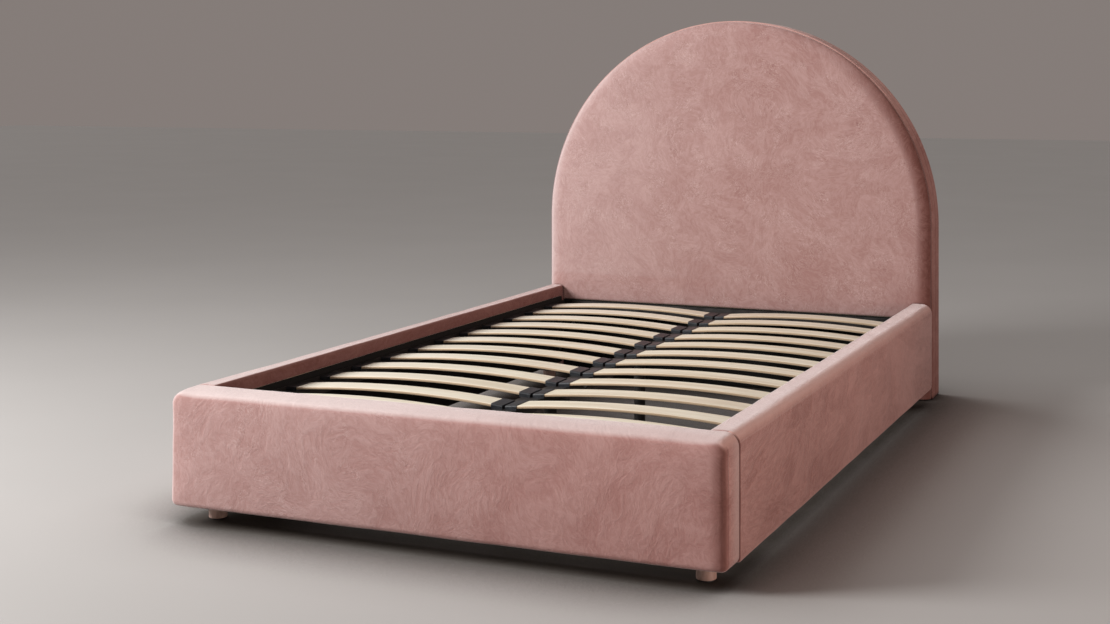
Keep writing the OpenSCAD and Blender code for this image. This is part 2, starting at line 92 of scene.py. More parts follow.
# Settings of the cloth that swells the pads
CLOTH = {"quality": 4, "mass": 0.35, "tension_stiffness": 30, "compression_stiffness": 30,
         "shear_stiffness": 12, "bending_stiffness": 6, "air_damping": 2, "use_pressure": True,
         "uniform_pressure_force": 4.0, "pin_stiffness": 1}
CLOTH_FRAMES = 20
# The cloth is held on the timber and this far beyond it, and near seams and lower edges, where it
# comes free over these widths
CORE_GAP, HELD, HELD_LOW, HELD_HEAD_LOW = 0.004, 0.012, 0.020, 0.030
# Mesh width, stapled edge and height of the ripples of the flat cloths
SHEET_CELL, STAPLED, RIPPLE = 0.02, 0.03, 0.0014

# Colours of the velvet's pile: the ends of the scale from brushed away to brushed towards
PILE = ((0.363, 0.202, 0.184), (0.503, 0.332, 0.314))
PILE_MIDDLE = (0.433, 0.267, 0.249)
# Painted shade: a darker, redder pile for the footboard's front towards its right end
PAINTED_SHADE_FRONT_RIGHT = ((0.370, 0.178, 0.158), (0.500, 0.288, 0.263))
# Painted shade: a darker, deeper pile for faces turned right
PAINTED_SHADE_FACING_RIGHT = ((0.345, 0.143, 0.119), (0.600, 0.312, 0.274))
# Painted light: a paler pile for faces turned left and for the headboard's left half
PAINTED_LIGHT_FACING_LEFT = (0.74, 0.645, 0.64)
# Painted light: a pinker tone on rounded top edges turned right
PAINTED_LIGHT_SHOULDER = (0.80, 0.50, 0.44)
# Painted highlight and sheen on the tops
PAINTED_LIGHT_TOP = (0.785, 0.705, 0.690)
# Painted light on the middle of the right rail's outer face
PAINTED_LIGHT_MIDWAY = (0.90, 0.45, 0.39)
# Painted shade on the left rail's inner face
PAINTED_SHADE_FACING_IN = (0.110, 0.030, 0.026)
# Painted light on the upper part of the headboard's band
PAINTED_LIGHT_BAND_TOP = (0.85, 0.51, 0.45)
HAIR_DARK, HAIR_PALE = (0.24, 0.115, 0.100), (0.66, 0.50, 0.475)
RIM_SHADE, END_SHADE = (0.172, 0.066, 0.054), (0.205, 0.084, 0.070)
# Dark seam lines, also used as painted shade in the joints' gaps; a deep painted shade; pale seam
# lines, also used as painted highlights
SEAM_DARK_AND_GAP_SHADE, PAINTED_SHADE_DEEP, PALE_SEAM_AND_HIGHLIGHT = (0.120, 0.045, 0.038), (0.190, 0.078, 0.064), (0.66, 0.48, 0.45)
# Painted shade in the joints' groove on top, and a painted highlight on the inner top edges
PAINTED_GAP_SHADE_TOP, PAINTED_EDGE_HIGHLIGHT = (0.43, 0.29, 0.27), (0.95, 0.90, 0.88)
# Painted shade in creases, on the headboard and low down
CREASE_SHADE_HIGH, CREASE_SHADE_LOW = (0.150, 0.062, 0.052), (0.085, 0.030, 0.026)
PILE_GRAIN = (0.26, 0.14, 0.125)


# ---------- camera and light ----------

def make_camera():
    """The camera that was fitted to the photograph's edges"""
    data = bpy.data.cameras.new("camera")
    data.sensor_width = 36
    data.lens = 52.35
    data.shift_x, data.shift_y = -0.0328, -0.2094
    data.clip_end = 200
    cam = bpy.data.objects.new("camera", data)
    cam.location = (1.6597, -4.1459, 1.0191)
    cam.rotation_euler = (math.radians(90), 0, math.radians(22.858))
    bpy.context.scene.collection.objects.link(cam)
    bpy.context.scene.camera = cam


def lamp(name, kind, place, aim, size, power, colour):
    """A round area light with its diameter as size, or a sun with its angle in degrees"""
    data = bpy.data.lights.new(name, kind)
    if kind == "AREA":
        data.shape = "DISK"
        data.size = size
    else:
        data.angle = math.radians(size)
    data.energy = power
    data.color = colour
    obj = bpy.data.objects.new(name, data)
    obj.location = place
    obj.rotation_euler = (Vector(aim) - Vector(place)).to_track_quat("-Z", "Y").to_euler()
    bpy.context.scene.collection.objects.link(obj)


# ---------- material helpers ----------

class Paint:
    """A node material with a Principled shader, object coordinates and short node calls"""

    def __init__(self, name, **sockets):
        self.mat = bpy.data.materials.new(name)
        self.mat.use_nodes = True
        self.tree = self.mat.node_tree
        self.tree.nodes.clear()
        out = self.tree.nodes.new("ShaderNodeOutputMaterial")
        self.bsdf = self.tree.nodes.new("ShaderNodeBsdfPrincipled")
        self.link(self.bsdf.outputs[0], out.inputs[0])
        for socket, value in sockets.items():
            self.bsdf.inputs[socket.replace("_", " ")].default_value = value
        coords = self.tree.nodes.new("ShaderNodeTexCoord")
        self.at = coords.outputs["Object"]
        self.normal = coords.outputs["Normal"]
        self.colour = None

    def link(self, a, b):
        self.tree.links.new(a, b)

    def put(self, socket, value):
        """Links a node's output to the socket, or sets the socket to a number or colour"""
        if isinstance(value, bpy.types.NodeSocket):
            self.link(value, socket)
        elif hasattr(value, "__len__") and len(value) == 3 and socket.type == "RGBA":
            socket.default_value = (*value, 1)
        else:
            socket.default_value = value

    def math(self, kind, *values):
        node = self.tree.nodes.new("ShaderNodeMath")
        node.operation = kind
        # Inputs without a value are set to 0, because their own default is 0.5
        for socket, value in zip(node.inputs, (*values, 0.0, 0.0)):
            self.put(socket, value)
        return node.outputs[0]

    def vector_math(self, kind, vector, other):
        node = self.tree.nodes.new("ShaderNodeVectorMath")
        node.operation = kind
        self.link(vector, node.inputs[0])
        self.put(node.inputs["Scale" if kind == "SCALE" else 1], other)
        return node.outputs[0]

    def split(self, vector):
        node = self.tree.nodes.new("ShaderNodeSeparateXYZ")
        self.link(vector, node.inputs[0])
        return node.outputs[:3]

    def place(self, scale=(1, 1, 1), turn=(0, 0, 0), vector=None):
        """The vector turned and scaled, so that a texture is drawn out along an axis"""
        node = self.tree.nodes.new("ShaderNodeMapping")
        self.link(vector or self.at, node.inputs[0])
        node.inputs["Scale"].default_value = scale
        node.inputs["Rotation"].default_value = turn
        return node.outputs[0]

    def noise_node(self, vector, seed, **sockets):
        node = self.tree.nodes.new("ShaderNodeTexNoise")
        node.noise_dimensions = "4D"
        node.inputs["W"].default_value = seed
        self.link(vector, node.inputs["Vector"])
        for socket, value in sockets.items():
            node.inputs[socket].default_value = value
        return node

    def noise(self, vector, scale, detail=3, rough=0.5, twist=0.0, seed=0.0):
        node = self.noise_node(vector, seed, Scale=scale, Detail=detail, Roughness=rough,
                               Distortion=twist)
        return node.outputs["Fac"]

    def warp(self, vector, scale, amount, seed):
        """The vector moved by a smooth noise of its own place"""
        node = self.noise_node(vector, seed, Scale=scale, Detail=1)
        centred = self.vector_math("SUBTRACT", node.outputs["Color"], (0.5, 0.5, 0.5))
        return self.vector_math("ADD", vector, self.vector_math("SCALE", centred, amount))

    def cells(self, vector, scale):
        node = self.tree.nodes.new("ShaderNodeTexVoronoi")
        self.link(vector, node.inputs["Vector"])
        node.inputs["Scale"].default_value = scale
        return node.outputs["Distance"]

    def fit(self, value, low, high, to_low=0.0, to_high=1.0):
        """A smooth step from to_low, at or below low, to to_high, at or above high"""
        node = self.tree.nodes.new("ShaderNodeMapRange")
        node.interpolation_type = "SMOOTHSTEP"
        for socket, x in zip(node.inputs, (value, low, high, to_low, to_high)):
            self.put(socket, x)
        return node.outputs[0]

    def every(self, *factors):
        """The product of all the factors"""
        result = factors[0]
        for factor in factors[1:]:
            result = self.math("MULTIPLY", result, factor)
        return result

    def line(self, value, centre, half, soft):
        """1 within half of the centre, and 0 beyond half and soft"""
        distance = self.math("ABSOLUTE", self.math("SUBTRACT", value, centre))
        return self.fit(distance, half, half + soft, 1.0, 0.0)

    def mix(self, factor, a, b):
        node = self.tree.nodes.new("ShaderNodeMix")
        node.data_type = "RGBA"
        self.put(node.inputs[0], factor)
        self.put(node.inputs[6], a)
        self.put(node.inputs[7], b)
        return node.outputs[2]

    def tint(self, shade, *factors):
        """Moves the colour so far towards the shade as the product of the factors says"""
        self.colour = self.mix(self.every(*factors), self.colour, shade)

    def openness(self, distance):
        """How open to its surroundings each point is, from 0 to 1, within the distance"""
        node = self.tree.nodes.new("ShaderNodeAmbientOcclusion")
        node.samples = 8
        node.inputs["Distance"].default_value = distance
        return node.outputs["AO"]

    def relief(self, *layers):
        """A normal bumped by each layer, which is (height, distance, strength)"""
        normal = None
        for height, distance, strength in layers:
            node = self.tree.nodes.new("ShaderNodeBump")
            self.link(height, node.inputs["Height"])
            node.inputs["Distance"].default_value = distance
            node.inputs["Strength"].default_value = strength
            if normal:
                self.link(normal, node.inputs["Normal"])
            normal = node.outputs[0]
        return normal

    def done(self, roughness, *layers):
        self.put(self.bsdf.inputs["Base Color"], self.colour)
        self.put(self.bsdf.inputs["Roughness"], roughness)
        self.put(self.bsdf.inputs["Normal"], self.relief(*layers))
        return self.mat


# ---------- velvet ----------

class Velvet(Paint):
    """Velvet with clouds and curved brush marks in its pile, seam lines, a hem and the joint lines,
    and painted light and shade on its faces, edges, creases and joints
    """

    def __init__(self, name, sheen):
        super().__init__(name, Sheen_Weight=sheen, Sheen_Roughness=0.30, Specular_IOR_Level=0.1)
        self.bsdf.inputs["Sheen Tint"].default_value = (1.0, 0.93, 0.93, 1)
        self.x, self.y, self.z = self.split(self.at)
        self.nx, _, self.nz = self.split(self.normal)
        self.across = self.math("ABSOLUTE", self.x)
        self.level = self.math("ABSOLUTE", self.nz)
        # Rails and footboard are low, and the headboard above them is high
        self.low = self.fit(self.z, TOP + 0.032, TOP + 0.052, 1.0, 0.0)
        self.high = self.math("SUBTRACT", 1.0, self.low)
        self.on_foot = self.before(FOOT_T, FOOT_T + 0.0006)
        self.on_rail = self.math("SUBTRACT", 1.0, self.on_foot)
        self.not_head = self.before(HEAD_Y - 0.004, HEAD_Y - 0.002)
        self.along_rails = self.every(self.behind(FOOT_T + 0.003, FOOT_T + 0.005), self.not_head)
        self.outside = self.every(self.fit(self.across, OUT_X - 0.018, OUT_X - 0.010), self.low)

    def before(self, a, b, value=1.0):
        """The value up to a, falling to 0 at b, both measured from the footboard's front face"""
        return self.fit(self.y, FRONT + a, FRONT + b, value, 0.0)

    def behind(self, a, b):
        """0 up to a, rising to 1 at b, both measured from the footboard's front face"""
        return self.fit(self.y, FRONT + a, FRONT + b)

    def brushed_pile(self):
        """Clouds, patches, strokes that cross each other, and single hairs"""
        # The marks are longer from front to back, where the sides are seen along their length
        cloth = self.place((1, 0.42, 1))
        bent = cloth
        for scale, amount, seed in ((3.5, 0.22, 4.0), (9.0, 0.08, 4.5), (30.0, 0.022, 4.7)):
            bent = self.warp(bent, scale, amount, seed)
        tilted = self.place(turn=(0.8, 0.95, 0.0), vector=bent)
        wide = self.noise(cloth, 3.4, 2, 0.5, 0.5, 1.0)
        self.patches = self.noise(bent, 7.0, 3, 0.62, 1.1, 3.0)
        upright, slanted = (
            self.noise(self.place((95, 95, 36), vector=way), 1.0, 4, 0.62, 0.9, seed)
            for way, seed in ((bent, 5.0), (tilted, 6.0)))
        share = self.fit(self.noise(cloth, 6.5, 2, 0.5, 0.4, 7.0), 0.46, 0.54)
        rest = self.math("SUBTRACT", 1.0, share)
        self.strokes = self.math("ADD", self.every(share, upright), self.every(rest, slanted))
        fine = self.noise(self.place((270, 270, 130), vector=tilted), 1.0, 4, 0.66, 0.6, 8.0)
        # How far the pile is brushed up, from 0 to 1
        self.lay = self.math("MULTIPLY", self.fit(wide, 0.36, 0.64), 0.22)
        for marks, low, high, weight in ((self.patches, 0.455, 0.545, 0.26),
                                         (self.strokes, 0.43, 0.57, 0.31),
                                         (fine, 0.38, 0.64, 0.21)):
            self.lay = self.math("MULTIPLY_ADD", self.fit(marks, low, high), weight, self.lay)
        self.colour = self.mix(self.lay, *PILE)
        spots = self.fit(self.noise(cloth, 16, 2, 0.5, 0.3, 10.0), 0.46, 0.60)
        for vector, scale, seed, soft, amount, shade in (
                (tilted, (80, 80, 44), 9.0, 0.020, 0.50, HAIR_DARK),
                (bent, (90, 90, 50), 11.0, 0.026, 0.44, HAIR_PALE)):
            hair = self.noise(self.place(scale, vector=vector), 1.0, 2, 0.5, 1.6, seed)
            self.tint(shade, self.line(hair, 0.5, 0.004, soft), spots, amount)

    def painted_side_light(self):
        """Painted light and shade on the pile: painted shade on faces turned right, which include
        the left rail's inner face, and on the footboard's front towards its right end; painted
        light on faces turned left and on the headboard's left half. The footboard's front also
        comes a little nearer the pile's middle colour
        """
        self.tint(PILE_MIDDLE, self.low, self.before(0.030, 0.060, 0.16))
        # Painted shade on the footboard's front, growing towards its right end
        self.tint(self.mix(self.lay, *PAINTED_SHADE_FRONT_RIGHT),
                  self.fit(self.x, -0.35, 0.50), self.low, self.before(0.030, 0.060), 0.9)
        # Painted light on the headboard's left half
        self.tint(PAINTED_LIGHT_FACING_LEFT, self.fit(self.x, -0.50, 0.15, 0.12, 0.0), self.high)
        # Painted shade on faces turned right
        self.tint(self.mix(self.lay, *PAINTED_SHADE_FACING_RIGHT), self.fit(self.nx, 0.12, 0.90, 0.0, 0.8))
        # Painted light on faces turned left, most on edges rolling to the left
        self.tint(PAINTED_LIGHT_FACING_LEFT, self.fit(self.nx, -0.90, -0.10, 0.55, 0.0),
                  self.fit(self.nx, -1.0, -0.82, 0.25, 1.0))

    def tops(self):
        """Painted highlight and sheen on the pale tops of rails and footboard, fading along the
        rails; painted light on rounded top edges turned right and on the middle of the right rail's
        outer face; painted shade on the left rail's inner face
        """
        less_on_foot = self.math("MAXIMUM", self.fit(self.on_foot, 0.0, 1.0, 1.0, 0.16),
                                 self.fit(self.nx, 0.15, 0.45, 0.0, 0.8))
        # Painted light: a pinker tone on rounded top edges turned right, less on the left rail and
        # the footboard
        self.tint(PAINTED_LIGHT_SHOULDER, self.fit(self.nz, 0.14, 0.74, 0.0, 0.86),
                  self.fit(self.nz, 0.90, 0.985, 1.0, 0.22), self.low,
                  self.fit(self.y, FRONT + 0.6, FRONT + 1.95, 1.0, 0.72),
                  self.fit(self.nx, 0.05, 0.25), less_on_foot,
                  self.fit(self.x, -RAIL_X - 0.005, -RAIL_X + 0.005, 0.5, 1.0))
        # Painted highlight and sheen on the tops, stronger near the foot than far along the rails
        along = self.every(self.fit(self.y, FRONT + 0.10, FRONT + 1.9, 0.49, 0.05),
                           self.fit(self.x, RAIL_X - 0.005, RAIL_X + 0.005, 1.0, 0.87))
        rail_top = self.every(self.fit(self.nz, 0.82, 1.0), along, self.on_rail)
        foot_top = self.every(self.fit(self.nz, 0.45, 0.95), self.on_foot,
                              self.fit(self.x, -0.40, 0.55, 0.64, 0.50),
                              self.fit(self.nx, 0.10, 0.65, 1.0, 0.0))
        self.tint(PAINTED_LIGHT_TOP, self.math("MAXIMUM", rail_top, foot_top), self.low)
        # Painted light on the middle of the right rail's outer face
        self.tint(PAINTED_LIGHT_MIDWAY, self.fit(self.nx, 0.5, 0.9), self.low,
                  self.behind(0.5, 1.1), self.before(1.6, 2.0), 0.15)
        # Painted shade on the left rail's inner face
        self.tint(PAINTED_SHADE_FACING_IN, self.fit(self.nx, 0.3, 0.8),
                  self.fit(self.x, -RAIL_X + 0.015, -RAIL_X + 0.025, 1.0, 0.0),
                  self.on_rail, self.low, 0.62)

    def shaded_rims(self):
        """Painted shade: a dark shoulder inside the headboard's right rim, low on the headboard's
        right above the rail, and at the footboard's right end
        """
        rise = self.math("MAXIMUM", self.math("SUBTRACT", self.z, SPRING), 0.0)
        square = self.math("ADD", self.every(self.x, self.x), self.every(rise, rise))
        edge = self.fit(self.math("SQRT", square), HEAD_CORE_R - 0.060, HEAD_CORE_R - 0.012)
        feather = self.fit(self.strokes, 0.40, 0.60, 0.74, 1.0)
        # Painted shade inside the headboard's right rim
        self.tint(RIM_SHADE, edge, self.fit(edge, 0.0, 0.6, 0.35, 1.0),
                  self.fit(self.x, 0.26, 0.63), self.fit(self.x, 0.16, 0.45),
                  self.behind(HEAD_Y - 0.0065, HEAD_Y - 0.0050),
                  self.before(HEAD_Y + 0.027, HEAD_Y + PAD_T), feather, 0.97)
        # Painted shade low on the headboard's right, just above the rail
        self.tint(PAINTED_SHADE_DEEP, self.fit(self.z, 0.30, 0.46, 0.40, 0.0),
                  self.fit(self.x, 0.46, 0.62), self.behind(HEAD_Y - 0.010, HEAD_Y - 0.002))
        # Painted shade at the footboard's right end
        self.tint(END_SHADE, self.fit(self.x, OUT_X - 0.040, OUT_X - 0.011),
                  self.before(0.006, 0.012), self.low, feather, 0.92)

    def seams_and_painted_light(self):
        """Seams beside the footboard's right corner with painted shade on the rounded corner, a
        painted highlight on the end's rear edge, and painted shade in the gap of its joint with the
        rails
        """
        upright = self.fit(self.level, 0.3, 0.7, 1.0, 0.0)
        end = self.every(self.outside, self.fit(self.x, 0.0, 0.1), upright)
        corner = self.math("MAXIMUM", self.line(self.y, FRONT + 0.0022, 0.0008, 0.0012),
                           self.line(self.y, FRONT + SEAM_Y, 0.0022, 0.0018))
        # Painted shade on the footboard's rounded right corner, just behind the front
        self.tint(PAINTED_SHADE_DEEP, self.before(0.010, 0.022, 0.50), end)
        self.tint(SEAM_DARK_AND_GAP_SHADE, corner, end, 0.30)
        # Painted highlight on the rear edge of the footboard's right end
        self.tint(PALE_SEAM_AND_HIGHLIGHT, self.fit(self.y, FRONT + 0.024, FRONT + 0.076, 0.10, 0.50),
                  self.before(FOOT_T - 0.002, FOOT_T), end, self.behind(0.018, 0.024))
        # Painted shade in the gap where the footboard meets the rails, lighter and redder on top
        joint = self.every(self.line(self.y, FRONT + FOOT_T + 0.0020, 0.0030, 0.0022), self.outside)
        self.tint(SEAM_DARK_AND_GAP_SHADE, joint, self.fit(self.level, 0.3, 0.9, 0.80, 0.0))
        self.tint(PAINTED_GAP_SHADE_TOP, joint, self.fit(self.level, 0.3, 0.9, 0.0, 0.35))

    def edges(self):
        """The hem with a paler strip below it, a pale line along the fold on the rails, painted
        highlights on the inner top edges, painted shade on the band with painted light on its top,
        and the band's welt
        """
        self.tint(SEAM_DARK_AND_GAP_SHADE, self.line(self.z, HEM_Z, 0.0006, 0.0011), self.not_head, 0.16)
        # The lowest few millimetres, below the hem, paler
        self.tint(PALE_SEAM_AND_HIGHLIGHT, self.fit(self.z, LOW + 0.0035, LOW + 0.0050, 0.22, 0.0), self.not_head)
        # A pale line painted along the fold on the rails' outer edge
        self.tint(PALE_SEAM_AND_HIGHLIGHT, self.along_rails, self.outside,
                  self.line(self.z, TOP - 0.0225, 0.0006, 0.0014), 0.22)
        # Painted highlight on the inner top edges of the rails and the footboard
        at_top = self.fit(self.z, TOP - 0.006, TOP - 0.003)
        rail_edge = self.every(self.line(self.across, RAIL_X + 0.0035, 0.0018, 0.0030), at_top,
                               self.along_rails)
        foot_edge = self.every(self.line(self.y, FRONT + FOOT_T - 0.0035, 0.0018, 0.0030), at_top,
                               self.low, self.fit(self.across, RAIL_X - 0.004, RAIL_X, 1.0, 0.0))
        self.tint(PAINTED_EDGE_HIGHLIGHT, self.math("MAXIMUM", rail_edge, foot_edge), self.low,
                  self.fit(self.nx, 0.0, 0.3, 0.60, 0.0))
        band = self.behind(BAND_Y[0] - 0.0032, BAND_Y[0] - 0.0007)
        # Painted shade on the band, stronger low down, and painted light on its top
        self.tint(PAINTED_SHADE_DEEP, band, self.fit(self.z, 0.75, 1.00, 0.30, 0.0))
        self.tint(PAINTED_LIGHT_BAND_TOP, band, self.fit(self.z, 0.80, 1.05, 0.0, 0.40))
        self.tint(SEAM_DARK_AND_GAP_SHADE, self.line(self.y, FRONT + WELT_Y, 0.0024, 0.0018), band, 0.36)

    def finished(self):
        """The whole velvet, with painted shade in creases and a fine grain over everything"""
        self.brushed_pile()
        self.painted_side_light()
        self.tops()
        self.shaded_rims()
        self.seams_and_painted_light()
        self.edges()
        # Painted shade in creases, where little round a point is open
        crease_shade = self.mix(self.low, CREASE_SHADE_HIGH, CREASE_SHADE_LOW)
        self.colour = self.mix(self.fit(self.openness(0.012), 0.25, 0.85), crease_shade, self.colour)
        grain = self.noise(self.at, 1500, 2, 0.6, 0.0, 7.0)
        fibres = self.noise(self.place((900, 400, 420)), 1.0, 2, 0.6, 0.0, 8.0)
        self.tint(PILE_GRAIN, self.fit(grain, 0.3, 0.7, 0.0, 0.14))
        return self.done(self.fit(self.lay, 0.0, 1.0, 0.92, 0.78), (self.strokes, 0.005, 0.30),
                         (self.patches, 0.010, 0.22), (fibres, 0.0005, 0.4), (grain, 0.0004, 0.5))


# ---------- other materials ----------

def foam():
    p = Paint("foam", Specular_IOR_Level=0.1)
    p.colour = p.mix(p.noise(p.at, 30, 2), (0.82, 0.76, 0.58), (0.9, 0.86, 0.7))
    return p.done(0.95, (p.cells(p.at, 900), 0.0008, 0.6))


def cloth_black(name, low, high):
    """Spun-bonded dust cover with pressed points and a faint wrinkle"""
    p = Paint(name, Specular_IOR_Level=0.15, Sheen_Weight=0.05)
    points = p.cells(p.place((420, 420, 420)), 1.0)
    threads = p.noise(p.place((300, 300, 300)), 1.0, 4, 0.7, 0.4, 1.0)
    cloud = p.noise(p.at, 12, 3, 0.5, 0.3, 2.0)
    tone = p.math("MULTIPLY_ADD", p.fit(threads, 0.3, 0.7), 0.6, p.math("MULTIPLY", cloud, 0.4))
    p.colour = p.mix(tone, low, high)
    return p.done(0.9, (points, 0.0005, 0.6), (threads, 0.0004, 0.5), (cloud, 0.004, 0.25))


def steel_black():
    """Powder coating, a little rubbed"""
    p = Paint("black_steel", Specular_IOR_Level=0.5)
    grain = p.noise(p.at, 700, 3, 0.6, 0.0, 1.0)
    rub = p.noise(p.at, 18, 4, 0.6, 0.6, 2.0)
    p.colour = p.mix(p.fit(rub, 0.4, 0.7), (0.016, 0.014, 0.013), (0.034, 0.029, 0.027))
    return p.done(p.fit(rub, 0.3, 0.7, 0.36, 0.52), (grain, 0.00025, 0.35))


def zinc():
    p = Paint("zinc_fasteners", Metallic=1.0)
    cloud = p.noise(p.at, 160, 4, 0.6, 0.5, 1.0)
    scratch = p.noise(p.place((2200, 2200, 160)), 1.0, 2, 0.5, 0.0, 2.0)
    p.colour = p.mix(p.fit(cloud, 0.35, 0.65), (0.46, 0.47, 0.48), (0.66, 0.67, 0.69))
    return p.done(p.fit(scratch, 0.3, 0.7, 0.26, 0.44), (scratch, 0.0001, 0.3))


def birch():
    """Lacquered birch face with the veneers of the bent lamination on its edges"""
    p = Paint("birch_slats", Coat_Weight=0.15, Coat_Roughness=0.3, Specular_IOR_Level=0.4)
    x, _, z = p.split(p.at)
    ny = p.split(p.normal)[1]
    bands = p.noise(p.warp(p.place((2.2, 34, 10)), 0.8, 0.8, 1.0), 1.0, 5, 0.62, 0.5, 2.0)
    pores = p.noise(p.place((14, 900, 300)), 1.0, 3, 0.6, 0.1, 3.0)
    cloud = p.noise(p.place((1.6, 7, 4)), 1.0, 2, 0.5, 0.3, 4.0)
    p.colour = p.mix(p.fit(bands, 0.36, 0.66), (0.70, 0.622, 0.475), (0.84, 0.790, 0.652))
    p.tint((0.76, 0.665, 0.52), p.fit(cloud, 0.35, 0.7, 0.0, 0.35))
    p.tint((0.54, 0.41, 0.28), p.fit(pores, 0.58, 0.78, 0.0, 0.30))
    # Painted light: the slats paler towards the left
    p.tint((0.93, 0.90, 0.83), p.fit(x, -0.55, -0.05, 0.34, 0.0))
    # The veneers follow the slats' bow, which is 0.1735 high per square of the way from its middle
    along = p.math("SUBTRACT", p.math("ABSOLUTE", x), 0.302)
    bow = p.math("MULTIPLY", p.every(along, along), 0.1735)
    layer = p.math("FRACT", p.math("MULTIPLY", p.math("ADD", z, bow), 430.0))
    ply = p.fit(p.math("ABSOLUTE", p.math("SUBTRACT", layer, 0.5)), 0.18, 0.30)
    edge = p.mix(ply, (0.48, 0.35, 0.22), (0.66, 0.51, 0.35))
    edge = p.mix(p.fit(pores, 0.4, 0.7, 0.0, 0.35), edge, (0.34, 0.22, 0.12))
    p.tint(edge, p.fit(p.math("ABSOLUTE", ny), 0.5, 0.85))
    return p.done(p.fit(bands, 0.3, 0.7, 0.42, 0.55), (bands, 0.0006, 0.25), (pores, 0.0003, 0.35))


def timber(name, low, high, dark):
    p = Paint(name, Specular_IOR_Level=0.3)
    rings = p.noise(p.warp(p.place((3.0, 3.0, 16)), 0.7, 0.8, 1.0), 1.0, 5, 0.6, 0.8, 2.0)
    pores = p.noise(p.place((60, 60, 700)), 1.0, 3, 0.6, 0.0, 3.0)
    p.colour = p.mix(p.fit(rings, 0.34, 0.66), low, high)
    p.tint(dark, p.fit(pores, 0.55, 0.8, 0.0, 0.3))
    return p.done(p.fit(rings, 0.3, 0.7, 0.6, 0.75), (pores, 0.0004, 0.4))


def board():
    """Sawn plywood and chipboard panels: pale chips under a fine sanding"""
    p = Paint("panel_board", Specular_IOR_Level=0.25)
    chips = p.cells(p.warp(p.place((90, 90, 160)), 1.0, 0.9, 1.0), 1.0)
    fine = p.noise(p.at, 400, 3, 0.6, 0.2, 2.0)
    p.colour = p.mix(p.fit(chips, 0.1, 0.7), (0.44, 0.31, 0.19), (0.66, 0.52, 0.36))
    p.tint((0.36, 0.25, 0.15), p.fit(fine, 0.4, 0.7, 0.0, 0.3))
    return p.done(0.8, (fine, 0.0003, 0.4))


def foot_wood():
    p = Paint("foot_wood", Coat_Weight=0.2, Coat_Roughness=0.35, Specular_IOR_Level=0.4)
    grain = p.noise(p.warp(p.place((70, 70, 9)), 0.6, 0.6, 1.0), 1.0, 5, 0.6, 0.4, 2.0)
    pores = p.noise(p.place((900, 900, 60)), 1.0, 2, 0.6, 0.0, 3.0)
    p.colour = p.mix(p.fit(grain, 0.36, 0.66), (0.53, 0.340, 0.280), (0.70, 0.485, 0.412))
    p.tint((0.30, 0.17, 0.12), p.fit(pores, 0.6, 0.8, 0.0, 0.4))
    return p.done(p.fit(grain, 0.3, 0.7, 0.4, 0.55), (pores, 0.0003, 0.35))


def plastic(name, low, high, rough_low, rough_high):
    p = Paint(name, Specular_IOR_Level=0.5)
    texture = p.noise(p.at, 1300, 3, 0.6, 0.0, 1.0)
    flow = p.noise(p.at, 40, 3, 0.5, 0.8, 2.0)
    p.colour = p.mix(p.fit(flow, 0.35, 0.65), low, high)
    return p.done(p.fit(flow, 0.3, 0.7, rough_low, rough_high), (texture, 0.0002, 0.5))


def floor_paint():
    """A plain pale floor, with painted shadow close to the bed and under it"""
    p = Paint("studio_floor", Specular_IOR_Level=0.2)
    cloud = p.noise(p.at, 1.3, 2, 0.5, 0.0, 1.0)
    fine = p.noise(p.at, 260, 2, 0.5, 0.0, 2.0)
    open_floor = p.mix(cloud, (0.400, 0.388, 0.376), (0.430, 0.418, 0.406))
    # Painted shadow where the bed closes the floor in
    p.colour = p.mix(p.fit(p.openness(0.34), 0.40, 0.96), (0.045, 0.037, 0.031), open_floor)
    x, y, _ = p.split(p.at)
    # Painted shadow under the bed's footprint
    p.tint((0.030, 0.024, 0.020), p.fit(p.math("ABSOLUTE", x), 0.56, 0.66, 1.0, 0.0),
           p.fit(p.math("ABSOLUTE", y), 1.00, 1.10, 1.0, 0.0), 0.4)
    return p.done(0.75, (fine, 0.0004, 0.15))


# ---------- meshes ----------

def stops(marks, step, *rounds):
    """Grid lines through the marks, close together where an edge is rounded.
    Each round is (edge, radius, way), with way 1 at a high edge and -1 at a low one."""
    points = {round(m, 5) for m in marks}
    for edge, radius, way in rounds:
        count = max(2, round(radius / ARC_CELL))
        for k in range(count + 1):
            inset = radius * (1 - math.tan(k * math.pi / 4 / count))
            points.add(round(edge - way * inset, 5))
    points = sorted(points)
    kept = [points[0]]
    for point in points[1:]:
        start = kept[-1]
        if point - start < MIN_CELL and point not in marks:
            continue
        parts = max(1, math.ceil((point - start) / step - 0.01))
        kept += [start + (point - start) * (k + 1) / parts for k in range(parts)]
    return np.array(kept)


def seam(at):
    """Grid lines at a sewn groove and beside it"""
    return at - 0.002, at, at + 0.002


def cell_mesh(xs, ys, zs, solid):
    """Points and quads of the skin round the filled cells of an uneven grid"""
    centres = np.meshgrid(*((v[1:] + v[:-1]) / 2 for v in (xs, ys, zs)), indexing="ij")
    full = np.pad(solid(*centres), 1).astype(int)
    corners = []
    for axis in range(3):
        u, v = (axis + 1) % 3, (axis + 2) % 3
        change = np.diff(full, axis=axis)
        for way in (1, -1):
            hits = np.argwhere(change == way)
            quad = []
            for du, dv in ((0, 0), (1, 0), (1, 1), (0, 1)):
                at = hits.copy()
                # Along the other two axes the padding is one cell wide
                at[:, u] += du - 1
                at[:, v] += dv - 1
                quad.append(at)
            corners.append(np.stack(quad if way == -1 else quad[::-1], axis=1))
    corners = np.concatenate(corners)
    flat, index = np.unique(corners.reshape(-1, 3), axis=0, return_inverse=True)
    points = np.stack([xs[flat[:, 0]], ys[flat[:, 1]], zs[flat[:, 2]]], axis=1)
    return points, index.reshape(-1, 4)


